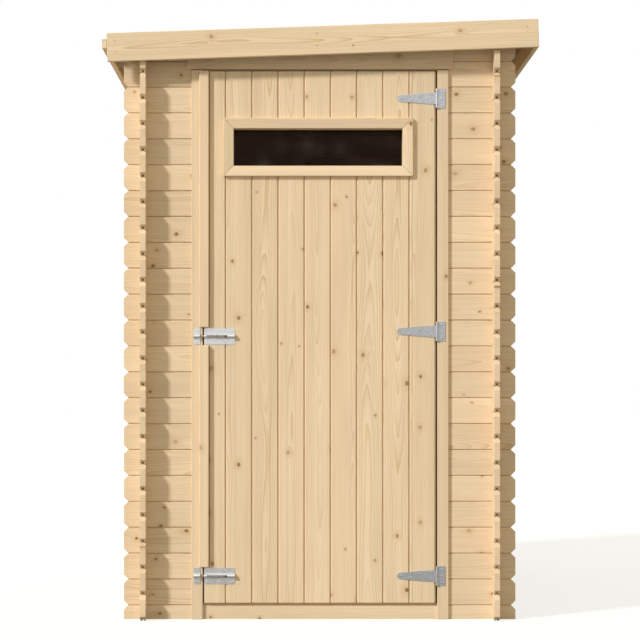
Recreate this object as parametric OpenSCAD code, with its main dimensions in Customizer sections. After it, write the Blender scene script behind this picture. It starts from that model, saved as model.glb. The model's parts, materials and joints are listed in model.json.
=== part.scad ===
// Garden shed of interlocking boards with a pent roof that falls to the left.
// Lengths in millimetres, angles in degrees. +X right, front towards -Y, +Z up.
// The origin is on the ground under the middle of the roof.

/* [Shell] */
// Distance between the outer faces of the side walls
body_w = 1212; // [1150:1:1700]
// Distance between the outer faces of the front and back walls
body_d = 1770; // [1000:1:2600]
// Thickness of a wall board
board_t = 19; // [16:0.5:28]
// Height that one wall board covers
board_pitch = 88; // [70:1:140]
// Height of the cut board at the foot of the front and back walls
half_board = 48; // [40:1:56]
// How far the boards run past each corner
log_end = 59; // [35:1:90]
// Size of the bevels on the board ends
end_bevel = 15; // [4:1:20]

/* [Roof] */
// Height of wall between the door head and the roof boards, at the middle of the shed
wall_over_head = 68; // [60:1:400]
// Fall of the roof to the left
roof_pitch = 1.92; // [0.5:0.01:6]
// How far the roof boards run past the side walls
eave_over = 112; // [70:1:200]
// Thickness of the roof boards
deck_t = 16; // [12:1:22]
// Thickness of the roofing felt
felt_t = 3; // [2:0.5:5]
// Thickness of the barge boards, the fascia and the eave strip
barge_t = 16; // [12:1:22]
// Height of the barge boards and the fascia
barge_h = 95; // [80:1:150]
// How far the barge boards hang below the roof boards
barge_drop = 59; // [40:1:70]
// How far the low end of the barge boards stops short of the eave
barge_short = 2; // [0:1:10]
// Height of the eave strip on the low side
eave_strip_h = 28; // [24:1:50]
// Width of the purlin
purlin_w = 45; // [30:1:70]
// Height of the purlin
purlin_h = 50; // [35:1:50]

/* [Doorway] */
// Sideways place of the doorway's middle
door_x = 1; // [-40:1:40]
// Width of the door leaf
leaf_w = 786; // [600:1:900]
// Height of the door leaf
leaf_h = 1802; // [1400:1:2100]
// Height of the leaf's bottom edge above the ground
leaf_z = 57; // [54:1:60]
// Gap between the leaf and its frame
leaf_gap = 5; // [4:0.5:8]
// How far the leaf's face stands in front of the wall
leaf_proud = 11; // [11:1:16]
// Thickness of the door boards
leaf_t = 19; // [16:0.5:24]
// Width of the post that takes the ends of the wall boards
post_w = 19; // [15:1:40]
// Thickness of the post's flange behind the wall
post_flange_t = 20; // [12:1:40]
// Height of the head over the doorway
head_h = 32; // [20:1:60]

/* [Trims] */
// Width of the trims beside the doorway
jamb_trim_w = 38; // [30:1:60]
// Thickness of the trims around the doorway
trim_t = 10; // [8:0.5:11]
// How far the trim above the doorway runs past the jamb trims
header_over = 16; // [0:1:40]
// Height of the trim above the doorway
header_h = 70; // [40:1:80]
// Gap between the jamb trims and the trim above them
header_gap = 3; // [0:0.5:10]

/* [Door boards] */
// Height of the ledges on the inside of the door
ledge_h = 90; // [60:1:110]
// Thickness of the ledges and the brace
ledge_t = 19; // [15:0.5:24]
// How far the ledges stop short of the leaf's edges
ledge_inset = 20; // [12:1:40]
// Height of the bottom hinge and ledge above the foot of the leaf
hinge_foot = 91; // [60:1:200]
// Height of the middle hinge and ledge above the ground
hinge_mid_z = 977; // [700:1:1100]
// Distance of the top hinge and ledge below the top of the leaf
hinge_head = 92; // [50:1:100]
// Width of the strip that covers the gap on the lock side
cover_w = 32; // [24:1:40]
// Thickness of that strip
cover_t = 15; // [10:1:20]
// How far it laps over the jamb trim
cover_lap = 16; // [10:1:20]
// Gap between the strip's ends and the bolts
cover_gap = 3; // [1:0.5:10]

/* [Window] */
// Distance from the leaf's lock edge to the window frame
window_lock_margin = 65; // [40:1:200]
// Distance from the leaf's hinge edge to the window frame
window_hinge_margin = 78; // [40:1:200]
// Height of the window's clear opening
window_h = 127; // [80:1:130]
// Distance from the leaf's top down to the window's middle
window_drop = 257.5; // [240:0.5:400]
// Width of the frame's members on the outside
frame_w = 35; // [20:1:40]
// How far the frame stands in front of the leaf
frame_t = 13; // [8:1:16]
// Width of the casing's members on the inside
casing_w = 30; // [20:1:36]
// How far the casing stands behind the leaf
casing_t = 28; // [20:1:30]
// Distance from the front of the frame to the glass
glass_depth = 50; // [42:1:54]
// Thickness of the glass
glass_t = 4; // [3:0.5:6]
// How far the glass reaches into its rebate
rebate = 8; // [5:1:12]

/* [Hinges] */
// Sideways place of the hinge line from the leaf's edge
hinge_out = 2.7; // [2:0.1:3.5]
// Radius of the knuckles
knuckle_r = 4; // [3.5:0.1:5]
// Radius of the hinge pin
pin_r = 2; // [1.5:0.1:2.4]
// Running clearance on the pin and between the knuckles
pin_clear = 0.3; // [0.2:0.05:0.6]
// Thickness of the hinge metal
hinge_t = 2; // [1.5:0.1:3]
// Length of the strap from the pin
strap_l = 135; // [100:1:250]
// Height of the strap at the pin
strap_root_h = 42; // [30:1:50]
// Height of the strap at its tip
strap_tip_h = 22; // [14:1:28]
// Width of the plate on the jamb
plate_w = 29; // [24:1:34]
// Height of the plate on the jamb
plate_h = 66; // [60:1:80]

/* [Bolts] */
// Height of the lower bolt above the foot of the leaf
bolt_foot = 91; // [60:1:200]
// Height of the upper bolt above the ground
bolt_high_z = 960; // [700:1:1100]
// Length of the bolt's plate
bolt_l = 104; // [95:1:140]
// Height of the bolt's plate and of its keeper
bolt_h = 55; // [45:1:70]
// Thickness of the bolt's metal
bolt_t = 1.5; // [1:0.1:2.5]
// Radius of the rod
rod_r = 5; // [4:0.1:6]
// Running clearance around the rod
rod_clear = 0.4; // [0.2:0.05:0.8]
// Length of the rod
rod_l = 75; // [70:1:80]
// Travel of the rod from thrown to drawn
rod_travel = 62; // [50:1:62]
// Gap between the rod and the plates behind it
rod_back_gap = 0.5; // [0.3:0.1:1]
// How far the rod is drawn at rest
rod_rest = 30; // [27:1:35]
// Width of the keeper
keeper_w = 22; // [16:1:26]
// Distance from the keeper to the edge of the jamb
keeper_inset = 8; // [2:1:12]
// Distance from the rod's thrown tip to the knob's middle
knob_back = 48; // [44:1:52]
// Radius of the knob's stem
stem_r = 2.8; // [2:0.1:3.5]
// Clearance around the stem in its slot
stem_clear = 0.7; // [0.3:0.1:1.2]
// Radius of the knob
knob_r = 5; // [4:0.1:6]
// How far the knob's middle stands in front of the rod's middle
knob_out = 17; // [14:1:20]

/* [Floor] */
// Height of the floor bearers
bearer_h = 28; // [20:1:30]
// Width of the floor bearers
bearer_w = 45; // [30:1:70]
// How many floor bearers there are
bearers = 4; // [3:1:7]
// Thickness of the floor boards
floor_t = 16; // [12:1:18]
// Gap around the floor boards
floor_gap = 5; // [2:1:15]

/* [Hidden] */

$fn = 48;
EPS = 0.01;
BIG = 4000;

// Walls: outer and inner faces, and the ends of the boards
wall_x = body_w / 2;
wall_y = body_d / 2;
inner_x = wall_x - board_t;
inner_y = wall_y - board_t;
end_x = wall_x + log_end;
end_y = wall_y + log_end;
// Where boards cross, each fills half of the course's height
lap_h = board_pitch / 2;
lap_z = half_board / 2;

// Doorway
leaf_x0 = door_x - leaf_w / 2;
leaf_x1 = door_x + leaf_w / 2;
opening_x0 = leaf_x0 - leaf_gap;
opening_x1 = leaf_x1 + leaf_gap;
leaf_top = leaf_z + leaf_h;
opening_top = leaf_top + leaf_gap;
// Above the door head the front wall runs right across
over_door_z = opening_top + head_h;
roof_z = over_door_z + wall_over_head;
roof_w = body_w + 2 * eave_over;
courses = ceil((roof_z + barge_h) / board_pitch) + 1;
leaf_face = -wall_y - leaf_proud;
leaf_back = leaf_face + leaf_t;
trim_face = -wall_y - trim_t;
post_back = -inner_y + post_flange_t;

// Heights of the hinges with their ledges, and of the bolts, from the bottom up
leaf_bolts = [leaf_z + bolt_foot, bolt_high_z];
leaf_hinges = [leaf_z + hinge_foot, hinge_mid_z, leaf_top - hinge_head];

// Window
frame_x0 = leaf_x0 + window_lock_margin;
frame_x1 = leaf_x1 - window_hinge_margin;
window_w = frame_x1 - frame_x0 - 2 * frame_w;
window_x = (frame_x0 + frame_x1) / 2;
window_z = leaf_top - window_drop;
glass_y = leaf_face - frame_t + glass_depth;

// Hinges
pin_x = leaf_x1 + hinge_out;
pin_y = leaf_face - knuckle_r;

// Bolts
rod_y = leaf_face - bolt_t - rod_back_gap - rod_r;
rod_thrown_x = opening_x0 - keeper_inset - keeper_w;
rod_x = rod_thrown_x + rod_rest;
housing_r = rod_r + rod_clear + bolt_t;
slot_half = stem_r + stem_clear;
slot_x0 = rod_thrown_x + knob_back - slot_half;
slot_x1 = rod_thrown_x + knob_back + rod_travel + slot_half;

// Roof slope, with its own origin on the underside of the roof boards
module on_slope() {
    translate([0, 0, roof_z])
        rotate([0, -roof_pitch, 0])
            children();
}

module above_roof() {
    on_slope()
        translate([-BIG / 2, -BIG / 2, 0])
            cube([BIG, BIG, BIG]);
}

module below_ground() {
    translate([-BIG / 2, -BIG / 2, -BIG])
        cube([BIG, BIG, BIG]);
}

// Points up one end of a stack of boards, with a bevel above and below each seam
function stack_end(x, side, z0, count, bevel) = [
    for (k = [0 : count - 1])
        each bevel > 0
            ? [
                [x - side * bevel, z0 + k * board_pitch],
                [x, z0 + k * board_pitch + bevel],
                [x, z0 + (k + 1) * board_pitch - bevel],
                [x - side * bevel, z0 + (k + 1) * board_pitch]
            ]
            : [[x, z0 + k * board_pitch], [x, z0 + (k + 1) * board_pitch]]
];

function reversed(list) = [for (i = [len(list) - 1 : -1 : 0]) list[i]];

// Each seam is the end of one board and the start of the next, so one of its two points goes
function without_repeats(list) = [
    for (i = [0 : len(list) - 1])
        if (i == 0 || list[i] != list[i - 1]) list[i]
];

module board_stack(x0, x1, z0, count, bevel0, bevel1) {
    low_end = without_repeats(stack_end(x0, -1, z0, count, bevel0));
    high_end = without_repeats(stack_end(x1, 1, z0, count, bevel1));
    linear_extrude(height = board_t)
        polygon(concat(low_end, reversed(high_end)));
}

// Stands a stack that is drawn in X and Z on a wall whose back is at y
module along_x(y) {
    translate([0, y, 0])
        rotate([90, 0, 0])
            children();
}

module along_y(x) {
    translate([x, 0, 0])
        rotate([90, 0, 90])
            children();
}

// Room for the boards of the other walls at the two corners of a front or back wall
module side_board_laps(y) {
    for (x = [-wall_x, inner_x])
        for (k = [0 : courses])
            translate([x, y - EPS, lap_z + k * board_pitch])
                cube([board_t, board_t + 2 * EPS, lap_h]);
}

module cross_board_laps(x) {
    for (y = [-wall_y, inner_y])
        for (k = [-1 : courses])
            translate([x - EPS, y, lap_z + lap_h + k * board_pitch])
                cube([board_t + 2 * EPS, board_t, lap_h]);
}

module above_head() {
    translate([-BIG / 2, -BIG / 2, over_door_z])
        cube([BIG, BIG, BIG]);
}

module below_head() {
    translate([-BIG / 2, -BIG / 2, over_door_z - BIG])
        cube([BIG, BIG, BIG]);
}

module front_wall_side(x0, x1, bevel0, bevel1) {
    color("BurlyWood")
        difference() {
            along_x(-inner_y)
                board_stack(x0, x1, half_board, courses, bevel0, bevel1);
            side_board_laps(-wall_y);
            above_head();
            above_roof();
        }
}

module front_wall_left() {
    front_wall_side(-end_x, opening_x0 - post_w, end_bevel, 0);
}

module front_wall_right() {
    front_wall_side(opening_x1 + post_w, end_x, 0, end_bevel);
}

module purlin_block() {
    translate([-purlin_w / 2, -wall_y, roof_z - purlin_h])
        cube([purlin_w, body_d, purlin_h + board_pitch]);
}

module front_wall_top() {
    color("BurlyWood")
        difference() {
            along_x(-inner_y)
                board_stack(-end_x, end_x, half_board, courses, end_bevel, end_bevel);
            side_board_laps(-wall_y);
            below_head();
            above_roof();
            purlin_block();
        }
}

module threshold() {
    color("BurlyWood")
        difference() {
            along_x(-inner_y)
                board_stack(-end_x, end_x, half_board - board_pitch, 1, end_bevel, end_bevel);
            side_board_laps(-wall_y);
            below_ground();
        }
}

module back_wall() {
    color("BurlyWood")
        difference() {
            along_x(wall_y)
                board_stack(-end_x, end_x, half_board - board_pitch, courses, end_bevel, end_bevel);
            side_board_laps(inner_y);
            above_roof();
            below_ground();
            purlin_block();
        }
}

module side_wall(x) {
    color("BurlyWood")
        difference() {
            along_y(x)
                board_stack(-end_y, end_y, 0, courses, end_bevel, end_bevel);
            cross_board_laps(x);
            above_roof();
        }
}

module left_wall() {
    side_wall(-wall_x);
}

module right_wall() {
    side_wall(inner_x);
}

// An L in plan: the web closes the board ends, the flange lies behind the wall
module door_post(side, edge) {
    color("Wheat")
        translate([edge, 0, half_board])
            linear_extrude(height = over_door_z - half_board)
                polygon([
                    [0, -wall_y],
                    [side * post_w, -wall_y],
                    [side * post_w, -inner_y],
                    [side * jamb_trim_w, -inner_y],
                    [side * jamb_trim_w, post_back],
                    [0, post_back]
                ]);
}

module door_post_left() {
    door_post(-1, opening_x0);
}

module door_post_right() {
    door_post(1, opening_x1);
}

module door_head() {
    color("Wheat")
        translate([opening_x0, -wall_y, opening_top])
            cube([opening_x1 - opening_x0, board_t + post_flange_t, over_door_z - opening_top]);
}

module jamb_trim(x) {
    color("Wheat")
        translate([x, trim_face, 0])
            cube([jamb_trim_w, trim_t, opening_top]);
}

module jamb_trim_left() {
    jamb_trim(opening_x0 - jamb_trim_w);
}

module jamb_trim_right() {
    jamb_trim(opening_x1);
}

module header_trim() {
    color("Wheat")
        translate([opening_x0 - jamb_trim_w - header_over, trim_face, opening_top + header_gap])
            cube([opening_x1 - opening_x0 + 2 * (jamb_trim_w + header_over), trim_t, header_h]);
}

module floor_bearers() {
    first = -inner_y + floor_gap;
    step = (2 * -first - bearer_w) / (bearers - 1);
    color("DarkKhaki")
        for (i = [0 : bearers - 1])
            translate([-inner_x, first + i * step, 0])
                cube([2 * inner_x, bearer_w, bearer_h]);
}

module floor_boards() {
    color("Wheat")
        translate([-inner_x + floor_gap, -inner_y + floor_gap, bearer_h])
            cube([2 * (inner_x - floor_gap), 2 * (inner_y - floor_gap), floor_t]);
}

module roof_purlin() {
    color("Wheat")
        difference() {
            purlin_block();
            above_roof();
        }
}

module roof_deck() {
    color("Tan")
        on_slope()
            translate([-roof_w / 2, -end_y, 0])
                cube([roof_w, 2 * end_y, deck_t]);
}

module roof_felt() {
    color("DimGray")
        on_slope()
            translate([-roof_w / 2 - barge_t, -end_y, deck_t])
                cube([roof_w + barge_t, 2 * end_y, felt_t]);
}

module barge(y) {
    color("BurlyWood")
        on_slope()
            translate([-roof_w / 2 + barge_short, y, -barge_drop])
                cube([roof_w - barge_short + barge_t, barge_t, barge_h]);
}

module barge_front() {
    barge(-end_y - barge_t);
}

module barge_back() {
    barge(end_y);
}

module fascia() {
    color("BurlyWood")
        on_slope()
            translate([roof_w / 2, -end_y, -barge_drop])
                cube([barge_t, 2 * end_y, barge_h]);
}

module eave_strip() {
    color("BurlyWood")
        on_slope()
            translate([-roof_w / 2 - barge_t, -end_y, deck_t - eave_strip_h])
                cube([barge_t, 2 * end_y, eave_strip_h]);
}

module window_hole(depth0, depth1, grow) {
    translate([window_x - window_w / 2 - grow, depth0, window_z - window_h / 2 - grow])
        cube([window_w + 2 * grow, depth1 - depth0, window_h + 2 * grow]);
}

module door_leaf() {
    color("BurlyWood")
        difference() {
            translate([leaf_x0, leaf_face, leaf_z])
                cube([leaf_w, leaf_t, leaf_h]);
            window_hole(leaf_face - EPS, leaf_back + EPS, 0);
        }
}

module door_ledge(z) {
    color("Wheat")
        translate([leaf_x0 + ledge_inset, leaf_back, z - ledge_h / 2])
            cube([leaf_w - 2 * ledge_inset, ledge_t, ledge_h]);
}

module door_ledge_bottom() {
    door_ledge(leaf_hinges[0]);
}

module door_ledge_middle() {
    door_ledge(leaf_hinges[1]);
}

module door_ledge_top() {
    door_ledge(leaf_hinges[2]);
}

// Rises from the hinge side to the lock side, so that it props the free edge
module door_brace() {
    x0 = leaf_x0 + ledge_inset;
    x1 = leaf_x1 - ledge_inset;
    z0 = leaf_hinges[0] + ledge_h / 2;
    z1 = leaf_hinges[1] - ledge_h / 2;
    color("Wheat")
        along_x(leaf_back + ledge_t)
            linear_extrude(height = ledge_t)
                polygon([[x1 - ledge_h, z0], [x1, z0], [x0 + ledge_h, z1], [x0, z1]]);
}

module cover_strip(z0, z1) {
    color("Wheat")
        translate([leaf_x0 - cover_lap, leaf_face - cover_t, z0])
            cube([cover_w, cover_t, z1 - z0]);
}

module cover_strip_lower() {
    cover_strip(leaf_bolts[0] + bolt_h / 2 + cover_gap, leaf_bolts[1] - bolt_h / 2 - cover_gap);
}

module cover_strip_upper() {
    cover_strip(leaf_bolts[1] + bolt_h / 2 + cover_gap, leaf_top);
}

module window_frame() {
    color("Wheat")
        difference() {
            window_hole(leaf_face - frame_t, leaf_face, frame_w);
            window_hole(leaf_face - frame_t - EPS, leaf_face + EPS, 0);
        }
}

module window_casing() {
    color("Wheat")
        difference() {
            window_hole(leaf_back, leaf_back + casing_t, casing_w);
            window_hole(leaf_back - EPS, glass_y + EPS, 0);
            window_hole(glass_y, leaf_back + casing_t + EPS, rebate);
        }
}

module window_glass() {
    color("DarkSlateGray")
        window_hole(glass_y, glass_y + glass_t, rebate);
}

module knuckle(z0, height) {
    translate([pin_x, pin_y, z0])
        cylinder(h = height, r = knuckle_r);
}

module hinge_strap(z) {
    half = strap_root_h / 2;
    tip = strap_tip_h / 2;
    color("Silver")
        difference() {
            union() {
                along_x(leaf_face)
                    linear_extrude(height = hinge_t)
                        polygon([
                            [pin_x - 1, z - half],
                            [pin_x - 1, z + half],
                            [pin_x - strap_l + tip, z + tip],
                            [pin_x - strap_l + tip / 3, z + tip * 0.6],
                            [pin_x - strap_l, z],
                            [pin_x - strap_l + tip / 3, z - tip * 0.6],
                            [pin_x - strap_l + tip, z - tip]
                        ]);
                knuckle(z - half, strap_root_h);
            }
            translate([pin_x, pin_y, z - plate_h])
                cylinder(h = 2 * plate_h, r = pin_r + pin_clear);
        }
}

module hinge_strap_bottom() {
    hinge_strap(leaf_hinges[0]);
}

module hinge_strap_middle() {
    hinge_strap(leaf_hinges[1]);
}

module hinge_strap_top() {
    hinge_strap(leaf_hinges[2]);
}

module hinge_plate(z) {
    gap_half = strap_root_h / 2 + pin_clear;
    color("Silver")
        union() {
            difference() {
                union() {
                    translate([pin_x + 0.5, trim_face - hinge_t, z - plate_h / 2])
                        cube([plate_w, hinge_t, plate_h]);
                    knuckle(z - plate_h / 2, plate_h);
                }
                translate([pin_x - knuckle_r - 1, pin_y - knuckle_r - 1, z - gap_half])
                    cube([2 * knuckle_r + 2, 2 * knuckle_r + 4, 2 * gap_half]);
            }
            translate([pin_x, pin_y, z - plate_h / 2])
                cylinder(h = plate_h, r = pin_r);
        }
}

module hinge_plate_bottom() {
    hinge_plate(leaf_hinges[0]);
}

module hinge_plate_middle() {
    hinge_plate(leaf_hinges[1]);
}

module hinge_plate_top() {
    hinge_plate(leaf_hinges[2]);
}

// Flat plate with a raised tunnel over the rod
module bolt_section(x0, length, base, z) {
    difference() {
        union() {
            translate([x0, base - bolt_t, z - bolt_h / 2])
                cube([length, bolt_t, bolt_h]);
            translate([x0, rod_y, z])
                rotate([0, 90, 0])
                    cylinder(h = length, r = housing_r);
            translate([x0, rod_y, z - housing_r])
                cube([length, base - rod_y, 2 * housing_r]);
        }
        translate([x0 - EPS, rod_y, z])
            rotate([0, 90, 0])
                cylinder(h = length + 2 * EPS, r = rod_r + rod_clear);
    }
}

module bolt_plate(z) {
    color("LightGray")
        difference() {
            bolt_section(leaf_x0, bolt_l, leaf_face, z);
            translate([slot_x0, rod_y - housing_r - 1, z - slot_half])
                cube([slot_x1 - slot_x0, housing_r + 1, 2 * slot_half]);
        }
}

module bolt_plate_lower() {
    bolt_plate(leaf_bolts[0]);
}

module bolt_plate_upper() {
    bolt_plate(leaf_bolts[1]);
}

module bolt_rod(z) {
    color("Gainsboro")
        translate([rod_x, rod_y, z])
            union() {
                rotate([0, 90, 0])
                    cylinder(h = rod_l, r = rod_r);
                translate([knob_back, 0, 0])
                    rotate([90, 0, 0])
                        cylinder(h = knob_out, r = stem_r);
                translate([knob_back, -knob_out, 0])
                    sphere(r = knob_r);
            }
}

module bolt_rod_lower() {
    bolt_rod(leaf_bolts[0]);
}

module bolt_rod_upper() {
    bolt_rod(leaf_bolts[1]);
}

module bolt_keeper(z) {
    color("LightGray")
        bolt_section(rod_thrown_x, keeper_w, trim_face, z);
}

module bolt_keeper_lower() {
    bolt_keeper(leaf_bolts[0]);
}

module bolt_keeper_upper() {
    bolt_keeper(leaf_bolts[1]);
}

front_wall_left();
front_wall_right();
front_wall_top();
threshold();
left_wall();
right_wall();
back_wall();
door_post_left();
door_post_right();
door_head();
jamb_trim_left();
jamb_trim_right();
header_trim();
floor_bearers();
floor_boards();
roof_purlin();
roof_deck();
roof_felt();
barge_front();
barge_back();
fascia();
eave_strip();
door_leaf();
door_ledge_bottom();
door_ledge_middle();
door_ledge_top();
door_brace();
cover_strip_lower();
cover_strip_upper();
window_frame();
window_casing();
window_glass();
hinge_strap_bottom();
hinge_strap_middle();
hinge_strap_top();
hinge_plate_bottom();
hinge_plate_middle();
hinge_plate_top();
bolt_plate_lower();
bolt_plate_upper();
bolt_rod_lower();
bolt_rod_upper();
bolt_keeper_lower();
bolt_keeper_upper();
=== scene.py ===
"""Garden shed of tongued boards: its looks, modelled around the packed frame."""

import json
import math
import random

import bmesh
import bpy
from bpy.props import FloatProperty, FloatVectorProperty, IntProperty, PointerProperty
from mathutils import Matrix, Vector


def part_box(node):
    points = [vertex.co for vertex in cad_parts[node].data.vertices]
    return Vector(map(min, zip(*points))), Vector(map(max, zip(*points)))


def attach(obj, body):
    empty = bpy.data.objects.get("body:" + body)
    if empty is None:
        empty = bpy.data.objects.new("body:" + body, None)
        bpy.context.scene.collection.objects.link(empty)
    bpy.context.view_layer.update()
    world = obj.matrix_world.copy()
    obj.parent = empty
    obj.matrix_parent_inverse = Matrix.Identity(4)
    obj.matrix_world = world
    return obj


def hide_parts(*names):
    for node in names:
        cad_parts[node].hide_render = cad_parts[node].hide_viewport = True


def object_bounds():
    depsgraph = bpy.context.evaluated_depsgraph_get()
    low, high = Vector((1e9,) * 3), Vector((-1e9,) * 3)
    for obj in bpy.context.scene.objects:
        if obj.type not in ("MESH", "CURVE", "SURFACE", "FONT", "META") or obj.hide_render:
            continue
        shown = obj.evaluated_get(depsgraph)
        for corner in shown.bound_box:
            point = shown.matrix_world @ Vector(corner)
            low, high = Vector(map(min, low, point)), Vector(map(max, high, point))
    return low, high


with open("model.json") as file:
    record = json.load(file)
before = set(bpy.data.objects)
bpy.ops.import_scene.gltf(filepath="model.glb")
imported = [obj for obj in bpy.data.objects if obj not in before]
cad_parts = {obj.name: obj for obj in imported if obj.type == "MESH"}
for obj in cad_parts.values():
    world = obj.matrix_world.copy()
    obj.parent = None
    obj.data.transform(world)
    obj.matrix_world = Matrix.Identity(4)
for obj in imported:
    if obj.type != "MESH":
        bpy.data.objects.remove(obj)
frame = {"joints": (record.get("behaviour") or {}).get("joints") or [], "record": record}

bl_info = {
    "name": "Garden shed",
    "version": (1, 0, 0),
    "blender": (4, 5, 0),
    "location": "3D View > Sidebar > Shed",
    "description": "Builds the boards, door, roof and ironmongery of a garden shed",
    "category": "Add Mesh",
}

X, Y, Z = (Vector(axis) for axis in ((1, 0, 0), (0, 1, 0), (0, 0, 1)))
MM = 0.001
EDGE_T = 0.016  # thickness of the boards around the roof
CAD_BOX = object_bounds()
SLOT_OF = {part["node"]: part["material_slot"] for part in frame["record"]["subparts"]}
BODY_OF = {
    node: body
    for body, nodes in frame["record"]["behaviour"]["bodies"].items()
    for node in nodes
}


# Places that several pieces share, read from the frame

class Places:
    """Corners and lines of the shed, in metres."""

    back_low, back_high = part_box("back_wall")
    side_low, side_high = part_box("left_wall")
    thick = back_high.y - back_low.y
    wall_x = -side_low.x
    wall_y = back_high.y
    end_x = back_high.x
    end_y = side_high.y
    half_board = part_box("threshold")[1].z
    post_x0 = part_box("door_post_left")[0].x
    post_x1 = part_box("door_post_right")[1].x
    head_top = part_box("door_head")[1].z
    leaf_low, leaf_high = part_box("door_leaf")
    deck_low, deck_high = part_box("roof_deck")


def length_prop(name, description, default):
    return FloatProperty(
        name=name, description=description, default=default, min=0.0,
        subtype="DISTANCE", unit="LENGTH",
    )


def colour_prop(name, description, default):
    return FloatVectorProperty(
        name=name, description=description, default=default, size=3,
        min=0.0, max=1.0, subtype="COLOR",
    )


class ShedSizes(bpy.types.PropertyGroup):
    """Sizes of what the boards and fittings are made with."""

    pitch: length_prop("Board height", "Height that one wall board covers", 0.088)
    chamfer: length_prop("Edge chamfer", "Chamfer along the edges of a tongued board", 0.0024)
    tongue_w: length_prop("Tongue width", "Thickness of a tongue", 0.006)
    tongue_h: length_prop("Tongue height", "How far a tongue stands up", 0.008)
    groove_gap: length_prop("Groove gap", "Clearance around a tongue in its groove", 0.0006)
    shoulder_gap: length_prop("Seam gap", "Gap between two wall boards", 0.0014)
    door_gap: length_prop("Door seam gap", "Gap between two door boards", 0.0032)
    end_bevel: length_prop("End bevel", "Bevel on the ends of the wall boards", 0.015)
    door_board: length_prop("Door board width", "Width that one door board covers", 0.0889)
    door_seam: length_prop("Last door seam", "Place of the seam nearest the hinges", 0.305)
    bead_offset: length_prop("Bead line", "Distance of the bead line from that seam", 0.010)
    arris: length_prop("Arris", "Rounding of squared timber", 0.0012)
    roof_pitch: FloatProperty(
        name="Roof fall", description="Fall of the roof to the left",
        default=math.radians(1.92), subtype="ANGLE", unit="ROTATION",
    )
    screw_r: length_prop("Screw head", "Radius of a screw head", 0.0038)
    nail_r: length_prop("Nail head", "Radius of a nail head", 0.0045)
    felt_lap: length_prop("Felt lap", "How far one sheet of felt laps over the next", 0.075)
    round_steps: IntProperty(
        name="Round steps", description="Faces around a rod or knuckle", default=28, min=8,
    )


class ShedColours(bpy.types.PropertyGroup):
    """Colours of the finishes, as linear values."""

    spruce: colour_prop("Spruce", "Pale wood between the growth rings", (0.860, 0.690, 0.474))
    late: colour_prop("Late wood", "Darker lines of the growth rings", (0.640, 0.400, 0.180))
    knot: colour_prop("Knots", "Middle of a knot", (0.250, 0.115, 0.040))
    treated: colour_prop("Treated wood", "Pale wood of the floor bearers", (0.43, 0.40, 0.20))
    treated_late: colour_prop("Treated late wood", "Rings of the floor bearers", (0.25, 0.22, 0.09))
    felt: colour_prop("Felt", "Granules of the roofing felt", (0.060, 0.064, 0.066))
    galvanised: colour_prop("Galvanised steel", "Grey steel of the hinges", (0.64, 0.65, 0.66))
    zinc: colour_prop("Zinc plate", "Bright steel of the bolts", (0.88, 0.88, 0.875))
    glass: colour_prop("Glass", "Tint of the window", (0.50, 0.36, 0.25))
    ground: colour_prop("Ground", "Pale ground under the shed", (0.36, 0.355, 0.335))


def sizes():
    return bpy.context.scene.shed_sizes


def colours():
    return bpy.context.scene.shed_colours


# Node trees. Noise scales are per metre, and stretches along, across and into a timber.

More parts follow.
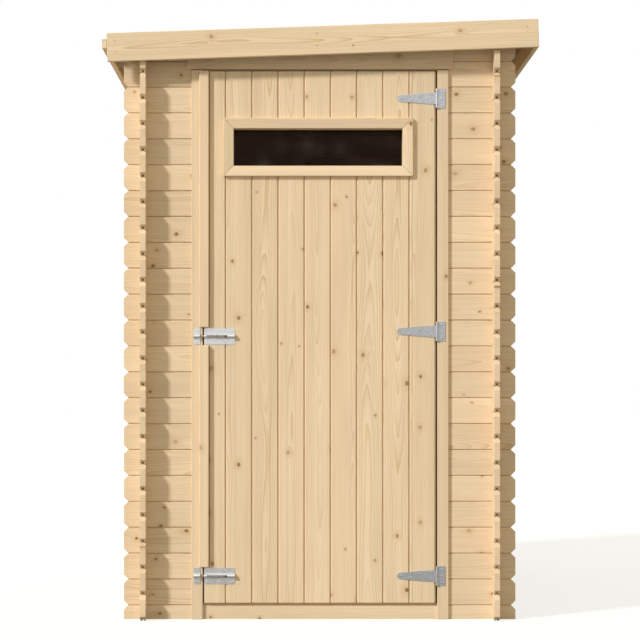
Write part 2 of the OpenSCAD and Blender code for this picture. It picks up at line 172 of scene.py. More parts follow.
class Tree:
    """Adds nodes to a material or a node group, joined through their sockets."""

    def __init__(self, tree):
        self.tree = tree

    def node(self, kind, values=None, **settings):
        node = self.tree.nodes.new(kind)
        for name, value in settings.items():
            setattr(node, name, value)
        for name, value in (values or {}).items():
            self.feed(node.inputs[name], value)
        return node

    def feed(self, socket, value):
        if isinstance(value, bpy.types.NodeSocket):
            self.tree.links.new(value, socket)
        elif hasattr(socket.default_value, "__len__") and len(socket.default_value) == 4:
            socket.default_value = (*value, 1.0)
        else:
            socket.default_value = value

    def fill(self, sockets, **values):
        """Feeds sockets by their names, written with _ for a space."""
        for name, value in values.items():
            self.feed(sockets[name.replace("_", " ")], value)

    def maths(self, operation, *terms, clamp=False):
        node = self.node("ShaderNodeMath", operation=operation, use_clamp=clamp)
        for socket, term in zip(node.inputs, terms):
            self.feed(socket, term)
        return node.outputs[0]

    def plus(self, total, *terms):
        for term in terms:
            total = self.maths("ADD", total, term)
        return total

    def times(self, product, *terms):
        for term in terms:
            product = self.maths("MULTIPLY", product, term)
        return product

    def minus(self, first, second):
        return self.maths("SUBTRACT", first, second)

    def over(self, first, second):
        return self.maths("DIVIDE", first, second)

    def smooth(self, value, start, stop, low=0.0, high=1.0):
        node = self.node("ShaderNodeMapRange", {"Value": value}, interpolation_type="SMOOTHSTEP")
        self.fill(node.inputs, From_Min=start, From_Max=stop, To_Min=low, To_Max=high)
        return node.outputs["Result"]

    def fade(self, value, start, stop):
        return self.smooth(value, start, stop, 1.0, 0.0)

    def mix(self, factor, first, second):
        values = {0: factor, 6: first, 7: second}
        return self.node("ShaderNodeMix", values, data_type="RGBA", clamp_factor=True).outputs[2]

    def vector(self, x, y, z=0.0):
        return self.node("ShaderNodeCombineXYZ", {"X": x, "Y": y, "Z": z}).outputs[0]

    def split(self, vector):
        return self.node("ShaderNodeSeparateXYZ", {"Vector": vector}).outputs

    def length(self, x, y):
        values = {0: self.vector(x, y)}
        return self.node("ShaderNodeVectorMath", values, operation="LENGTH").outputs["Value"]

    def noise(self, vector, scale, detail=2.0, roughness=0.5):
        values = {"Vector": vector, "Scale": scale, "Detail": detail, "Roughness": roughness}
        return self.node("ShaderNodeTexNoise", values)

    def swing(self, vector, factors, detail=2.0, roughness=0.5):
        """Noise about zero, on a vector whose parts are first multiplied by factors."""
        values = {0: vector, 1: factors}
        at = self.node("ShaderNodeVectorMath", values, operation="MULTIPLY").outputs[0]
        return self.minus(self.noise(at, 1.0, detail, roughness).outputs[0], 0.5)

    def place(self):
        return self.node("ShaderNodeTexCoord").outputs["Object"]

    def cells(self, scale):
        """Voronoi cells on Object coordinates."""
        values = {"Vector": self.place(), "Scale": scale}
        return self.node("ShaderNodeTexVoronoi", values, feature="F1").outputs

    def bump(self, shader, height, strength, distance):
        values = {"Height": height, "Strength": strength, "Distance": distance}
        self.fill(shader.inputs, Normal=self.node("ShaderNodeBump", values).outputs[0])


def node_group(name, inputs, outputs):
    """Starts a shader node group with named sockets; returns its tree, its inputs and its outputs."""
    group = bpy.data.node_groups.new(name, "ShaderNodeTree")
    for socket, kind, default in inputs:
        made = group.interface.new_socket(name=socket, in_out="INPUT", socket_type=kind)
        made.default_value = default
    for socket, kind in outputs:
        group.interface.new_socket(name=socket, in_out="OUTPUT", socket_type=kind)
    tree = Tree(group)
    return tree, tree.node("NodeGroupInput").outputs, tree.node("NodeGroupOutput").inputs


FLOAT = "NodeSocketFloat"
COLOUR = "NodeSocketColor"


def spruce_group():
    """Growth rings, fibres and knots of sawn softwood, from each timber's own coordinates."""
    title = "Softwood figure"
    made = bpy.data.node_groups.get(title)
    if made:
        return made
    t, given, out = node_group(
        title,
        [
            ("Pale", COLOUR, (0.8, 0.6, 0.35, 1)), ("Late", COLOUR, (0.6, 0.4, 0.2, 1)),
            ("Knot", COLOUR, (0.25, 0.12, 0.04, 1)), ("Ring Spacing", FLOAT, 0.0032),
            ("Ring Strength", FLOAT, 0.5), ("Fibre Strength", FLOAT, 0.2),
            ("Tone Strength", FLOAT, 0.2), ("Knot Radius", FLOAT, 0.0046),
            ("Knot Share", FLOAT, 0.46), ("Base Roughness", FLOAT, 0.6),
        ],
        [("Colour", COLOUR), ("Roughness", FLOAT), ("Height", FLOAT)],
    )
    wood, board = (
        t.node("ShaderNodeAttribute", attribute_name=name).outputs["Vector"]
        for name in ("wood", "board")
    )
    along, across, depth = t.split(wood)[:]
    pith_across, pith_depth, tone = t.split(board)[:]

    # One knot at most in each cell of a loose grid along the timber, with its own size
    cell_along, cell_across = 0.17, 0.075
    apart = t.times(tone, 31.0)
    grid = t.vector(t.over(along, cell_along), t.plus(t.over(across, cell_across), apart))
    cells = t.node(
        "ShaderNodeTexVoronoi", {"Vector": grid, "Scale": 1.0, "Randomness": 0.85},
        voronoi_dimensions="2D", feature="F1",
    )
    middle = t.split(cells.outputs["Position"])
    chance = t.split(cells.outputs["Color"])
    knot_along = t.minus(along, t.times(middle[0], cell_along))
    knot_across = t.minus(across, t.times(t.minus(middle[1], apart), cell_across))
    wobble = t.smooth(t.noise(wood, 120.0, 1.0).outputs[0], 0.2, 0.8, 0.82, 1.18)
    away = t.times(t.length(t.times(knot_along, 0.8), knot_across), wobble)
    present = t.maths("LESS_THAN", chance[0], given["Knot Share"])
    radius = t.times(given["Knot Radius"], t.plus(0.35, chance[1]))
    ratio = t.over(away, radius)
    knot = t.times(t.fade(ratio, 0.78, 1.05), present)
    rim = t.times(t.smooth(ratio, 0.7, 0.95), t.fade(ratio, 1.0, 1.3), present)
    swell = t.times(t.fade(ratio, 0.4, 5.0), present)

    # Rings are circles around a pith that wanders along the timber
    wander_at = t.vector(t.times(along, 1.1), t.times(tone, 17.0))
    wander = t.split(t.noise(wander_at, 1.0, 1.0).outputs["Color"])
    from_across = t.plus(t.minus(across, pith_across), t.times(t.minus(wander[0], 0.5), 0.09))
    from_depth = t.plus(t.minus(depth, pith_depth), t.times(t.minus(wander[1], 0.5), 0.05))
    ripple = t.times(t.swing(wood, (9.0, 60.0, 1.0), 3.0), 0.0022)
    bent = t.plus(t.length(from_across, from_depth), ripple, t.times(swell, t.times(radius, 1.3)))
    count = t.over(bent, given["Ring Spacing"])
    phase = t.maths("FRACT", count)
    ring_no = t.vector(t.maths("FLOOR", count), tone)
    strong = t.node("ShaderNodeTexWhiteNoise", {"Vector": ring_no}).outputs["Value"]
    ring = t.times(t.maths("POWER", phase, 2.6), t.fade(phase, 0.93, 1.0), t.plus(0.45, strong))

    # Fibres, tones and long streaks differ in how far they are stretched along the timber
    fibre = t.swing(wood, (7.0, 520.0, 520.0), 3.0, 0.6)
    broad = t.swing(wood, (2.2, 14.0, 14.0))
    streak = t.swing(wood, (0.9, 75.0, 75.0), 2.0, 0.6)
    shade = t.plus(t.times(t.minus(tone, 0.5), 0.55), broad, t.times(streak, 0.9))

    marked = t.plus(0.45, t.maths("FRACT", t.times(tone, 13.7)))
    late = t.maths("MULTIPLY", t.times(ring, given["Ring Strength"]), marked, clamp=True)
    rosy = t.times(t.maths("FRACT", t.times(tone, 7.3)), 0.3)
    colour = t.mix(late, t.mix(rosy, given["Pale"], (0.86, 0.61, 0.42)), given["Late"])
    light = t.plus(
        1.0, t.times(fibre, given["Fibre Strength"]), t.times(shade, given["Tone Strength"]),
    )
    lit = t.node("ShaderNodeVectorMath", {0: colour, "Scale": light}, operation="SCALE")
    colour = t.mix(t.times(swell, 0.38), lit.outputs[0], given["Late"])
    knot_share = t.times(knot, t.smooth(chance[2], 0.0, 1.0, 0.3, 0.85))
    colour = t.mix(knot_share, colour, given["Knot"])
    rim_share = t.times(rim, t.smooth(chance[1], 0.2, 0.9, 0.75, 0.2))
    colour = t.mix(rim_share, colour, (0.10, 0.045, 0.018))
    rough = t.plus(given["Base Roughness"], t.minus(t.times(fibre, 0.18), t.times(knot, 0.16)))
    height = t.plus(t.times(fibre, 0.55), t.minus(t.times(ring, 0.35), t.times(rim, 0.9)))
    t.fill(out, Colour=colour, Roughness=rough, Height=height)
    return t.tree


def marks_group():
    """Soft marks at two scales on Object coordinates, for metal, felt and glass."""
    title = "Soft marks"
    made = bpy.data.node_groups.get(title)
    if made:
        return made
    t, given, out = node_group(
        title,
        [("Scale", FLOAT, 60.0), ("Fine Scale", FLOAT, 900.0), ("Contrast", FLOAT, 0.5)],
        [("Marks", FLOAT), ("Grit", FLOAT)],
    )
    place = t.place()
    marks = t.noise(place, given["Scale"], 4.0, 0.6).outputs[0]
    grit = t.noise(place, given["Fine Scale"], 2.0, 0.6).outputs[0]
    half = t.times(given["Contrast"], 0.5)
    t.fill(out, Marks=t.smooth(marks, t.minus(0.5, half), t.plus(0.5, half)), Grit=grit)
    return t.tree


def soft_marks(t, scale, fine, contrast=0.5):
    """The marks group in a material; returns its marks and its grit."""
    values = {"Scale": scale, "Fine Scale": fine, "Contrast": contrast}
    return t.node("ShaderNodeGroup", values, node_tree=marks_group()).outputs[:]


def shaded(colour, share):
    return [part * share for part in colour]


def new_material(name):
    """An empty material with a Principled shader; returns it, its tree and the shader."""
    material = bpy.data.materials.new(name)
    material.use_nodes = True
    material.node_tree.nodes.clear()
    t = Tree(material.node_tree)
    shader = t.node("ShaderNodeBsdfPrincipled")
    t.node("ShaderNodeOutputMaterial", {"Surface": shader.outputs[0]})
    return material, t, shader


def timber_material(name, pale, late, shade=1.0, rough=0.62, **values):
    material, t, shader = new_material(name)
    figure = t.node("ShaderNodeGroup", node_tree=spruce_group())
    t.fill(
        figure.inputs, Pale=shaded(pale, shade), Late=shaded(late, shade), Knot=colours().knot,
        Base_Roughness=rough, **values,
    )
    colour, roughness, height = figure.outputs[:]
    t.fill(shader.inputs, Base_Color=colour, Roughness=roughness, Specular_IOR_Level=0.28)
    t.bump(shader, height, 0.55, 0.0004)
    return material


def spruce(name, shade=1.0, **values):
    return timber_material(name, colours().spruce, colours().late, shade, **values)


def steel_material(name, colour, rough, spangle, grit, dirt=0.5):
    """Zinc on steel: crystals of differing grey, with dull marks."""
    material, t, shader = new_material(name)
    grey = t.split(t.cells(260.0)["Color"])[0]
    marks, grain = soft_marks(t, 90.0, 1800.0)
    dull = t.times(t.plus(t.times(grey, spangle), marks), dirt)
    t.fill(
        shader.inputs, Base_Color=t.mix(dull, colour, shaded(colour, 0.66)), Metallic=1.0,
        Roughness=t.plus(rough, t.times(marks, 0.16)),
    )
    t.bump(shader, grain, grit, 0.0002)
    return material


def glass_material(name):
    """Clear glass with faint smears."""
    material, t, shader = new_material(name)
    marks, grit = soft_marks(t, 14.0, 160.0, 0.7)
    smear = t.times(marks, grit)
    t.fill(
        shader.inputs, Base_Color=colours().glass, Roughness=t.plus(0.03, t.times(smear, 0.10)),
        Transmission_Weight=1.0, IOR=1.25, Specular_IOR_Level=0.06,
        Specular_Tint=(0.75, 0.48, 0.34), Coat_Weight=t.smooth(smear, 0.24, 0.52, 0.0, 0.5),
        Coat_Roughness=0.45,
    )
    t.bump(shader, marks, 0.1, 0.0005)
    return material


def felt_material(name):
    """Mineral granules on bitumen."""
    material, t, shader = new_material(name)
    dark = colours().felt
    pale = shaded(dark, 2.6)
    granules = t.cells(520.0)
    fleck = t.split(granules["Color"])[0]
    marks, _ = soft_marks(t, 5.0, 70.0)
    speckled = t.mix(t.maths("POWER", fleck, 3.0), dark, pale)
    t.fill(
        shader.inputs, Base_Color=t.mix(t.times(marks, 0.4), speckled, pale),
        Roughness=t.plus(0.8, t.times(fleck, 0.15)),
    )
    t.bump(shader, t.fade(granules["Distance"], 0.0, 0.6), 0.8, 0.0008)
    return material


def material_for(slot):
    """The material of one of the record's slots, made once."""
    name = f"{slot}_finish"
    made = bpy.data.materials.get(name)
    if made:
        return made
    c = colours()
    makers = {
        "wall_boards": lambda: spruce(name),
        "frame_timber": lambda: spruce(name, 0.97, Knot_Share=0.3),
        "trim_timber": lambda: spruce(name, 0.96, Knot_Share=0.12, Ring_Strength=0.36),
        "door_timber": lambda: spruce(name, 1.02, Knot_Share=0.34),
        "roof_edge_timber": lambda: spruce(name, 1.07, Knot_Share=0.4),
        # Painted shade: the roof boards are the same spruce darkened to 0.3, so the underside of the
        # roof reads as deep shade.
        "roof_boards": lambda: spruce(name, 0.3, Ring_Strength=0.6),
        "floor_boards": lambda: spruce(name, 0.93, rough=0.7),
        "bearer_timber": lambda: timber_material(name, c.treated, c.treated_late, rough=0.75),
        "galvanised_steel": lambda: steel_material(name, c.galvanised, 0.38, 0.7, 0.25),
        "zinc_plated_steel": lambda: steel_material(name, c.zinc, 0.28, 0.1, 0.015, 0.2),
        "window_glass": lambda: glass_material(name),
        "roofing_felt": lambda: felt_material(name),
    }
    return makers[slot]()


# Mesh helpers

def new_part():
    part = bmesh.new()
    part.verts.layers.float_vector.new("wood")
    part.verts.layers.float_vector.new("board")
    return part


def to_mesh(part):
    mesh = bpy.data.meshes.new("part")
    part.to_mesh(mesh)
    part.free()
    return mesh


def add_to(target, part):
    """Joins a finished part into a piece."""
    bmesh.ops.recalc_face_normals(part, faces=part.faces)
    mesh = to_mesh(part)
    target.from_mesh(mesh)
    bpy.data.meshes.remove(mesh)


def set_grain(part, centre, along, across, rng):
    """Writes each vertex's place in its timber, and where that timber's pith and tone lie."""
    wood = part.verts.layers.float_vector["wood"]
    board = part.verts.layers.float_vector["board"]
    depth = along.cross(across)
    shift = rng.uniform(0, 60)
    side = rng.choice((-1, 1))
    kind = Vector((rng.uniform(-0.055, 0.055), side * rng.uniform(0.012, 0.075), rng.random()))
    for vert in part.verts:
        place = vert.co - centre
        vert[wood] = (place.dot(along) + shift, place.dot(across), place.dot(depth))
        vert[board] = kind


def move(part, matrix):
    bmesh.ops.transform(part, matrix=matrix, verts=part.verts)


def push(part, face, way):
    """Extrudes a face along a vector."""
    pushed = bmesh.ops.extrude_face_region(part, geom=[face])["geom"]
    moved = [item for item in pushed if isinstance(item, bmesh.types.BMVert)]
    bmesh.ops.translate(part, verts=moved, vec=way)


def prism(points, way):
    """A flat outline pushed along a vector."""
    part = new_part()
    push(part, part.faces.new([part.verts.new(point) for point in points]), way)
    bmesh.ops.recalc_face_normals(part, faces=part.faces)
    return part


def turned(points, centre, axis, steps, closed=False):
    """A profile turned full circle around an axis."""
    part = new_part()
    verts = [part.verts.new(point) for point in points]
    edges = [part.edges.new(pair) for pair in zip(verts, verts[1:])]
    if closed:
        edges.append(part.edges.new((verts[-1], verts[0])))
    bmesh.ops.spin(
        part, geom=verts + edges, cent=centre, axis=axis, angle=2 * math.pi,
        steps=steps, use_merge=True, use_duplicate=False,
    )
    bmesh.ops.remove_doubles(part, verts=part.verts, dist=1e-6)
    return part


def block(low, high):
    part = new_part()
    low, high = Vector(low), Vector(high)
    bmesh.ops.create_cube(part, size=1)
    bmesh.ops.scale(part, vec=high - low, verts=part.verts)
    bmesh.ops.translate(part, vec=(low + high) / 2, verts=part.verts)
    return part


def soften(part, width, steps=2):
    bmesh.ops.bevel(
        part, geom=part.edges[:], offset=width, affect="EDGES",
        segments=steps, profile=0.5, material=-1, clamp_overlap=True,
    )


def cut(part, point, normal):
    """Cuts away what lies on the normal's side of a plane, and closes the cut."""
    everything = part.verts[:] + part.edges[:] + part.faces[:]
    found = bmesh.ops.bisect_plane(
        part, geom=everything, dist=1e-7, plane_co=point, plane_no=normal, clear_outer=True,
    )
    open_edges = [
        item for item in found["geom_cut"]
        if isinstance(item, bmesh.types.BMEdge) and item.is_boundary
    ]
    if open_edges:
        bmesh.ops.edgeloop_fill(part, edges=open_edges)


def combined(part, tools, operation):
    """A part with other closed parts cut out of it or joined to it."""
    scene = bpy.context.scene
    body = bpy.data.objects.new("body", to_mesh(part))
    tool_part = new_part()
    for tool in tools:
        add_to(tool_part, tool)
    tool = bpy.data.objects.new("tool", to_mesh(tool_part))
    for item in (body, tool):
        scene.collection.objects.link(item)
    modifier = body.modifiers.new("combine", "BOOLEAN")
    modifier.operation = operation
    modifier.solver = "EXACT"
    modifier.use_self = True
    modifier.object = tool
    depsgraph = bpy.context.evaluated_depsgraph_get()
    mesh = bpy.data.meshes.new_from_object(body.evaluated_get(depsgraph))
    result = new_part()
    result.from_mesh(mesh)
    for item in (body, tool):
        used = item.data
        bpy.data.objects.remove(item)
        bpy.data.meshes.remove(used)
    bpy.data.meshes.remove(mesh)
    return result


def make_piece(part, name, *nodes, smooth=False, bevel=0.0, finish=None):
    """Turns a bmesh into the piece that stands for some CAD nodes."""
    mesh = to_mesh(part)
    mesh.name = name
    piece = bpy.data.objects.new(name, mesh)
    bpy.context.scene.collection.objects.link(piece)
    slot = SLOT_OF[nodes[0]]
    mesh.materials.append(finish or material_for(slot))
    if smooth:
        mesh.shade_smooth()
        mesh.set_sharp_from_angle(angle=math.radians(35))
    if bevel:
        modifier = piece.modifiers.new("arris", "BEVEL")
        modifier.width = bevel
        modifier.segments = 2
        modifier.limit_method = "ANGLE"
        modifier.angle_limit = math.radians(40)
    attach(piece, BODY_OF[nodes[0]])
    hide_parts(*nodes)
    return piece


def plank(target, low, high, along, across, rng, arris, place=None):
    """Adds one squared timber with eased edges."""
    part = block(low, high)
    soften(part, arris)
    set_grain(part, (Vector(low) + Vector(high)) / 2, along, across, rng)
    if place:
        move(part, place)
    add_to(target, part)


def plank_piece(node, name, low, high, along, across, arris, place=None):
    """Makes a piece of one squared timber."""
    target = new_part()
    plank(target, low, high, along, across, random.Random(node), arris, place)
    make_piece(target, name, node)


def single(part, name, node):
    """Makes a piece of one finished part."""
    target = new_part()
    add_to(target, part)
    make_piece(target, name, node)


def tongued_board(start, stop, width, thick, gap=None):
    """A tongued board: X along it, Y in from its face, Z from its groove to its tongue."""
    s = sizes()
    mid = thick / 2
    tongue = s.tongue_w / 2
    groove = tongue + s.groove_gap
    depth = s.tongue_h + s.groove_gap
    top = width - (s.shoulder_gap if gap is None else gap)
    nose = 0.2 * s.tongue_w
    half = [
        (0, s.chamfer), (0, top - s.chamfer), (s.chamfer, top), (mid - tongue, top),
        (mid - tongue, top + s.tongue_h - nose), (mid - tongue + nose, top + s.tongue_h),
    ]
    foot = [(mid - groove, depth), (mid - groove, 0), (s.chamfer, 0)]
    outline = half + [(thick - y, z) for y, z in reversed(half)]
    outline += [(thick - y, z) for y, z in reversed(foot)] + foot
    return prism([(start, y, z) for y, z in outline], (stop - start, 0, 0))


def slope():
    """The roof's own frame, with its origin on the underside of the roof boards."""
    pitch = sizes().roof_pitch
    half = Places.deck_high.x / math.cos(pitch)
    height = Places.deck_low.z + half * math.sin(pitch)
    return Matrix.Translation((0, 0, height)) @ Matrix.Rotation(-pitch, 4, "Y"), half


def under_roof(part):
    place, _ = slope()
    cut(part, place.translation, place.to_3x3() @ Z)


# Walls

def wall_frame(origin, along, inward):
    """Stands a board's own axes on a wall: along it, in from its face, and up."""
    columns = Matrix((along, inward, Z)).transposed().to_4x4()
    return Matrix.Translation(origin) @ columns


def wall_board(start, stop, bevels, crossings, keep):
    """One wall board with bevelled ends, which keeps half its height where it crosses a wall."""
    s = sizes()
    above = s.pitch + s.tongue_h + MM
    notches = [
        block((left, -MM, bottom), (right, Places.thick + MM, top))
        for left, right in crossings
        for bottom, top in ((-MM, keep[0]), (keep[1], above))
    ]
    board = combined(tongued_board(start, stop, s.pitch, Places.thick), notches, "DIFFERENCE")
    for side, end, bevelled in ((-1, start, bevels[0]), (1, stop, bevels[1])):
        if bevelled:
            cut(board, (end, 0, s.end_bevel), (side, 0, -1))
            cut(board, (end, 0, s.pitch - s.end_bevel), (side, 0, 1))
    return board


def stack(board, first_z, low_z, high_z, frame_of_wall, rng, holes=()):
    """Stacks copies of a board from first_z up, kept between two heights and under the roof."""
    s = sizes()
    target = new_part()
    level = first_z
    while level < high_z:
        if level + s.pitch > low_z + MM:
            part = board.copy()
            middle = Vector((0, Places.thick / 2, s.pitch / 2))
            set_grain(part, middle, X, Z, rng)
            place = frame_of_wall @ Matrix.Translation((0, 0, level))
            move(part, place)
            if level < low_z - MM:
                cut(part, (0, 0, low_z), -Z)
            top = level + s.pitch + s.tongue_h
            if top > Places.deck_low.z:
                under_roof(part)
            for hole_low, hole_high in holes:
                if hole_low[2] < top and level < hole_high[2]:
                    part = with_hole(part, hole_low, hole_high, middle, place, rng)
            if tall_enough(part, level):
                add_to(target, part)
        level += s.pitch
    return target


def tall_enough(part, level):
    """Leaves out the slivers of boards that are cut near their foot."""
    least = 8 * MM
    return bool(part.verts) and max(vert.co.z for vert in part.verts) > level + least


def with_hole(part, low, high, middle, place, rng):
    """Cuts a box out of a board that already stands in its place, and writes its grain again."""
    part = combined(part, [block(low, high)], "DIFFERENCE")
    turn = place.to_3x3()
    set_grain(part, place @ middle, turn @ X, turn @ Z, rng)
    return part


def build_walls():
    s, p = sizes(), Places
    lap = s.pitch / 2
    gap = 0.15 * MM
    inner_x, inner_y = p.wall_x - p.thick, p.wall_y - p.thick
    # Where the boards cross, each keeps half of the course's height
    side_keep = (p.half_board / 2 + gap, p.half_board / 2 + lap - gap)
    front_keep = (
        side_keep[1] - p.half_board + 2 * gap, side_keep[0] + s.pitch - p.half_board - 2 * gap,
    )
    first = p.half_board - s.pitch
    front = wall_frame((0, -p.wall_y, 0), X, Y)
    back = wall_frame((0, p.wall_y, 0), X, -Y)
    left = wall_frame((-p.wall_x, 0, 0), Y, X)
    right = wall_frame((p.wall_x, 0, 0), Y, -X)
    ends_x = [(-p.wall_x - gap, -inner_x + gap), (inner_x - gap, p.wall_x + gap)]
    ends_y = [(-p.wall_y - gap, -inner_y + gap), (inner_y - gap, p.wall_y + gap)]
    high = p.deck_high.z
    purlin_low, purlin_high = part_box("roof_purlin")
    purlin = (purlin_low - Vector((gap, MM, gap)), purlin_high + Vector((gap, MM, MM)))

    both = (True, True)
    across = wall_board(-p.end_x, p.end_x, both, ends_x, front_keep)
    left_board = wall_board(-p.end_x, p.post_x0, (True, False), ends_x[:1], front_keep)
    right_board = wall_board(p.post_x1, p.end_x, (False, True), ends_x[1:], front_keep)
    side_board = wall_board(-p.end_y, p.end_y, both, ends_y, side_keep)
    walls = (
        ("threshold", across, 0.0, p.half_board - MM, front, ()),
        ("front_wall_left", left_board, p.half_board, p.head_top - MM, front, ()),
        ("front_wall_right", right_board, p.half_board, p.head_top - MM, front, ()),
        ("front_wall_top", across, p.head_top, high, front, (purlin,)),
        ("back_wall", across, 0.0, high, back, (purlin,)),
        ("left_wall", side_board, 0.0, high, left, ()),
        ("right_wall", side_board, 0.0, high, right, ()),
    )
    for node, board, low_z, high_z, place, holes in walls:
        level = 0.0 if node in ("left_wall", "right_wall") else first
        made = stack(board, level, low_z, high_z, place, random.Random(node), holes)
        make_piece(made, f"{node}_boards", node)
    for board in (across, left_board, right_board, side_board):
        board.free()


# Doorway

def build_doorway():
    p = Places
    for side, node in ((-1, "door_post_left"), (1, "door_post_right")):
        low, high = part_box(node)
        edge, outer = (high.x, low.x) if side < 0 else (low.x, high.x)
        web = edge + side * p.thick
        inner_y = -p.wall_y + p.thick
        outline = (
            (edge, low.y), (web, low.y), (web, inner_y),
            (outer, inner_y), (outer, high.y), (edge, high.y),
        )
        post = prism([(x, y, low.z) for x, y in outline], (0, 0, high.z - low.z))
        soften(post, sizes().arris)
        set_grain(post, (low + high) / 2, Z, X, random.Random(node))
        single(post, f"{node}_timber", node)
    for node, along, across in (
        ("door_head", X, Z), ("jamb_trim_left", Z, X), ("jamb_trim_right", Z, X),
        ("header_trim", X, Z),
    ):
        plank_piece(node, f"{node}_timber", *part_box(node), along, across, arris=0.0016)


# Floor

def build_floor():
    s = sizes()
    rng = random.Random("floor")
    low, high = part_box("floor_bearers")
    count, width = 4, 0.045
    step = (high.y - low.y - width) / (count - 1)
    starts = [low.y + index * step for index in range(count)]
    bearers = new_part()
    for start in starts:
        ends = (low.x, start, low.z), (high.x, start + width, high.z)
        plank(bearers, *ends, X, Z, rng, arris=0.002)
    make_piece(bearers, "floor_bearers_timber", "floor_bearers")

    low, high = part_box("floor_boards")
    boards = new_part()
    turn = Matrix(((0, 0, 1), (1, 0, 0), (0, -1, 0))).to_4x4()
    nail_in, nail_edge = 0.022, 0.01
    start = low.x
    while start < high.x - MM:
        board = tongued_board(low.y, high.y, s.pitch, high.z - low.z)
        set_grain(board, Vector((0, 0, s.pitch / 2)), X, Z, rng)
        move(board, Matrix.Translation((start, 0, high.z)) @ turn)
        cut(board, (high.x, 0, 0), X)
        add_to(boards, board)
        if start + nail_in < high.x - nail_edge:
            for bearer in starts:
                spot = (start + nail_in, bearer + width / 2, high.z)
                add_head(boards, spot, Z, 0.7 * s.nail_r)
        start += s.pitch
    make_piece(boards, "floor_boards_laid", "floor_boards")


# Roof

def build_roof():
    s, p = sizes(), Places
    place, half = slope()
    rng = random.Random("roof")
    low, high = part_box("roof_purlin")
    above = 0.01
    purlin = block(low, (high.x, high.y, high.z + above))
    set_grain(purlin, (low + high) / 2, Y, Z, rng)
    under_roof(purlin)
    soften(purlin, s.arris)
    single(purlin, "roof_purlin_timber", "roof_purlin")

    fall = 2 * half * math.sin(s.roof_pitch)
    deck_t = (p.deck_high.z - p.deck_low.z - fall) / math.cos(s.roof_pitch)
    deck = new_part()
    turn = Matrix(((1, 0, 0), (0, 0, 1), (0, 1, 0))).to_4x4()
    start = -p.end_y
    while start < p.end_y - MM:
        board = tongued_board(-half, half, s.pitch, deck_t)
        set_grain(board, Vector((0, 0, s.pitch / 2)), X, Z, rng)
        move(board, Matrix.Translation((0, start, 0)) @ turn)
        cut(board, (0, p.end_y, 0), Y)
        cut(board, (0, -p.end_y, 0), -Y)
        move(board, place)
        add_to(deck, board)
        start += s.pitch
    make_piece(deck, "roof_deck_boards", "roof_deck")

    build_felt(place, half, deck_t)
    build_roof_edges(place, half, deck_t)


def build_roof_edges(place, half, deck_t):
    """The barge boards, the fascia and the eave strip."""
    s, p = sizes(), Places
    drop, rise, short, eave = 0.059, 0.036, 0.002, 0.028
    nails_x = (-half + 0.03, -0.01, half - 0.02)
    nails_z = (-drop + 0.03, rise - 0.026)
    for side, node in ((-1, "barge_front"), (1, "barge_back")):
        target = new_part()
        face = side * (p.end_y + EDGE_T)
        near, far = sorted((side * p.end_y, face))
        ends = (-half + short, near, -drop), (half + EDGE_T, far, rise)
        plank(target, *ends, X, Z, random.Random(node), 0.0018, place)
        for x in nails_x:
            for z in nails_z:
                add_head(target, place @ Vector((x, face, z)), side * Y, 0.62 * s.nail_r)
        make_piece(target, f"{node}_board", node)
    for node, near, far, foot, top in (
        ("fascia", half, half + EDGE_T, -drop, rise),
        ("eave_strip", -half - EDGE_T, -half, deck_t - eave, deck_t),
    ):
        ends = (near, -p.end_y, foot), (far, p.end_y, top)
        plank_piece(node, f"{node}_board", *ends, Y, Z, 0.0016, place)


def build_felt(place, half, deck_t):
    """Two sheets of felt, the upper lapped over the lower and held by clout nails."""
    s, p = sizes(), Places
    sheet_t, bedded, split, nails = 0.0015, 0.0002, -0.03, 24
    lap_low, lap_high = split - s.felt_lap / 2, split + s.felt_lap / 2
    top, lapped = deck_t + sheet_t, deck_t + 2 * sheet_t - bedded
    low_sheet = block((-half - EDGE_T, -p.end_y, deck_t), (lap_high, p.end_y, top))
    profile = (
        (lap_low, top), (lap_low, lapped), (lap_high, lapped), (lap_high + 12 * MM, top),
        (half, top), (half, deck_t), (lap_high + MM, deck_t), (lap_high + MM, top),
    )
    high_sheet = prism([(x, -p.end_y, z) for x, z in profile], (0, 2 * p.end_y, 0))
    felt = new_part()
    for sheet in (low_sheet, high_sheet):
        move(sheet, place)
        add_to(felt, sheet)
    rows = ((lap_low + 0.018, lapped), (-half - EDGE_T + 0.012, top), (half - 0.015, top))
    for index in range(nails):
        y = -p.end_y + (index + 0.5) * 2 * p.end_y / nails
        for x, z in rows:
            add_head(felt, place @ Vector((x, y, z)), place.to_3x3() @ Z, s.nail_r, 0.0003)
    make_piece(felt, "roof_felt_sheets", "roof_felt")


# Screws and nails

def head_frame(point, normal):
    """A frame whose Z is the way a head faces."""
    turn = Z.rotation_difference(Vector(normal).normalized()).to_matrix().to_4x4()
    return Matrix.Translation(Vector(point)) @ turn


def add_head(target, point, normal, radius, raised=0.0):
    """Adds a flat nail head with a chamfered rim."""
    head = bmesh.new()
    thick = 0.0008
    made = bmesh.ops.create_cone(
        head, cap_ends=True, segments=12, radius1=radius, radius2=0.8 * radius, depth=thick,
    )
    bmesh.ops.translate(head, verts=made["verts"], vec=(0, 0, raised - thick / 2))
    move(head, head_frame(point, normal))
    add_to(target, head)


def screw_prototype(radius):
    """A countersunk screw head: a low dome with a cross-shaped recess."""
    rim, crown, depth, recess, clear = 0.0004, 0.0010, 0.0006, 0.0002, 0.003
    dome = ((0, crown), (0.55 * radius, 0.86 * crown), (radius, rim), (radius, -depth))
    head = turned([(r, 0, z) for r, z in dome], (0, 0, 0), Z, 18)
    rims = [edge for edge in head.edges if edge.is_boundary]
    bmesh.ops.edgeloop_fill(head, edges=rims)
    bmesh.ops.recalc_face_normals(head, faces=head.faces)
    long, wide = 0.55 * radius, 0.14 * radius
    slots = [block((-x, -y, recess), (x, y, clear)) for x, y in ((long, wide), (wide, long))]
    return combined(head, slots, "DIFFERENCE")


